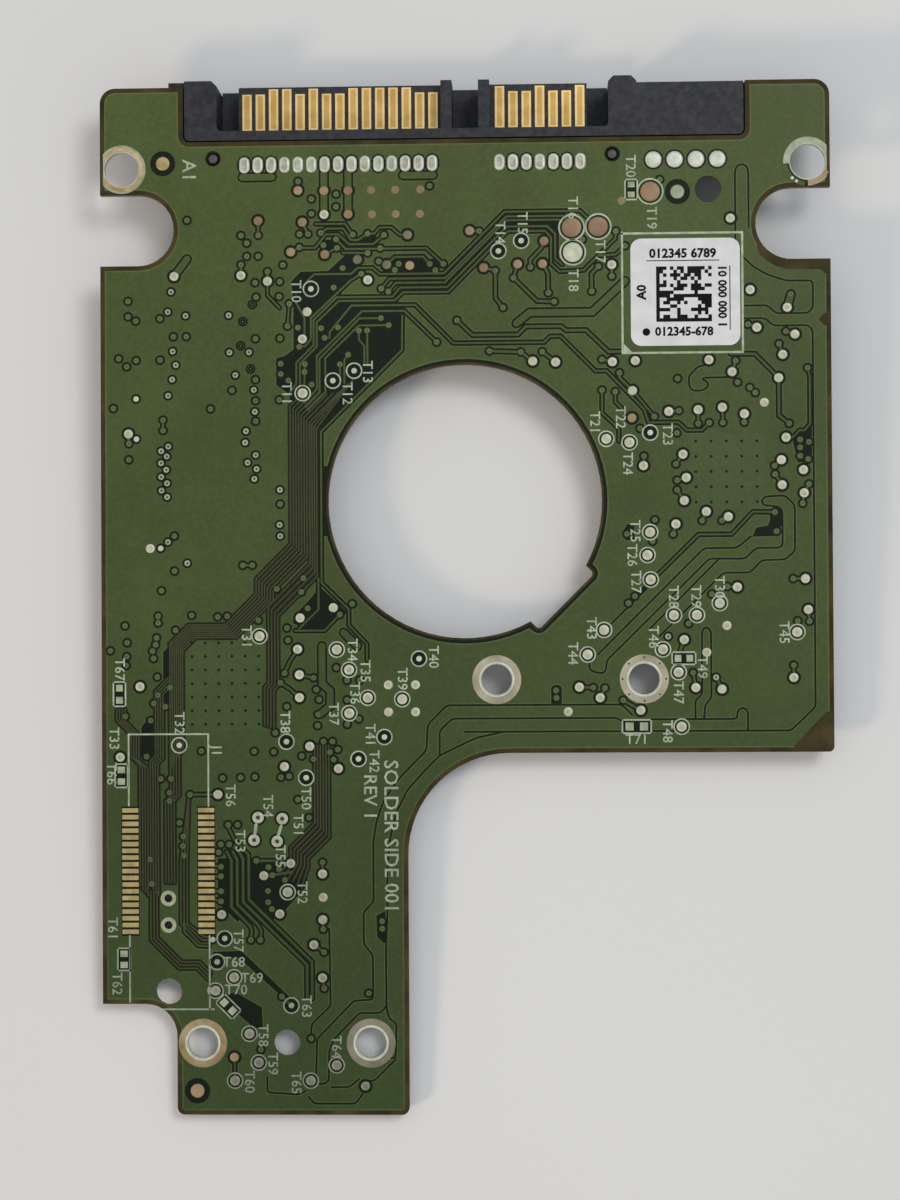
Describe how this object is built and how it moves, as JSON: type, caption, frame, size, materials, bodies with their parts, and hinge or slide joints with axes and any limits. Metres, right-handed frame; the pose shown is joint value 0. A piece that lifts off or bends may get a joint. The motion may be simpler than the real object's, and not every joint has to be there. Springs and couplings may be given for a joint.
{
  "type": "hard drive circuit board",
  "caption": "Controller board of a small hard drive, shown solder side up, with a keyed data and power plug along its upper edge and its chips underneath.",
  "frame": {"origin": "middle of the part's box at the level of the plug's base, the lowest face", "axes": "+X across the board with the tab at -X, +Y towards the plug edge, +Z out of the solder side"},
  "size_m": [0.0688, 0.0976, 0.0057],
  "materials": {
    "solder_mask": "satin",
    "connector_plastic": "matte",
    "gold_plating": "polished",
    "solder": "satin",
    "tinned_copper": "satin",
    "label_paper": "matte",
    "package_epoxy": "matte",
    "lead_tin": "satin",
    "capacitor_ceramic": "matte",
    "resistor_ceramic": "satin",
    "tantalum_epoxy": "matte",
    "ferrite": "matte",
    "sensor_ceramic": "matte",
    "lid_metal": "brushed",
    "bare_gold": "satin"
  },
  "bodies": {
    "root": {"circuit_board": "solder_mask", "connector_housing": "connector_plastic", "power_contacts": "gold_plating", "signal_contacts": "gold_plating", "power_solder_joints": "solder", "signal_solder_joints": "solder", "screw_hole_rings": "tinned_copper", "top_screw_rings": "tinned_copper", "jumper_pads": "solder", "debug_pads": "bare_gold", "paper_label": "label_paper", "controller_chip": "package_epoxy", "controller_leads": "lead_tin", "memory_chip": "package_epoxy", "memory_leads": "lead_tin", "flash_chip": "package_epoxy", "flash_leads": "lead_tin", "motor_driver_chip": "package_epoxy", "motor_driver_lands": "lead_tin", "ceramic_capacitors": "capacitor_ceramic", "ceramic_terminals": "lead_tin", "chip_resistors": "resistor_ceramic", "resistor_terminals": "lead_tin", "tantalum_capacitors": "tantalum_epoxy", "tantalum_terminals": "lead_tin", "power_inductors": "ferrite", "inductor_terminals": "lead_tin", "surge_diodes": "package_epoxy", "surge_diode_terminals": "lead_tin", "shock_sensors": "sensor_ceramic", "shock_sensor_terminals": "lead_tin", "crystal_base": "sensor_ceramic", "crystal_lid": "lid_metal", "transistors": "package_epoxy", "transistor_leads": "lead_tin", "head_contact_pads": "bare_gold", "motor_contact_pads": "bare_gold"}
  },
  "joints": []
}
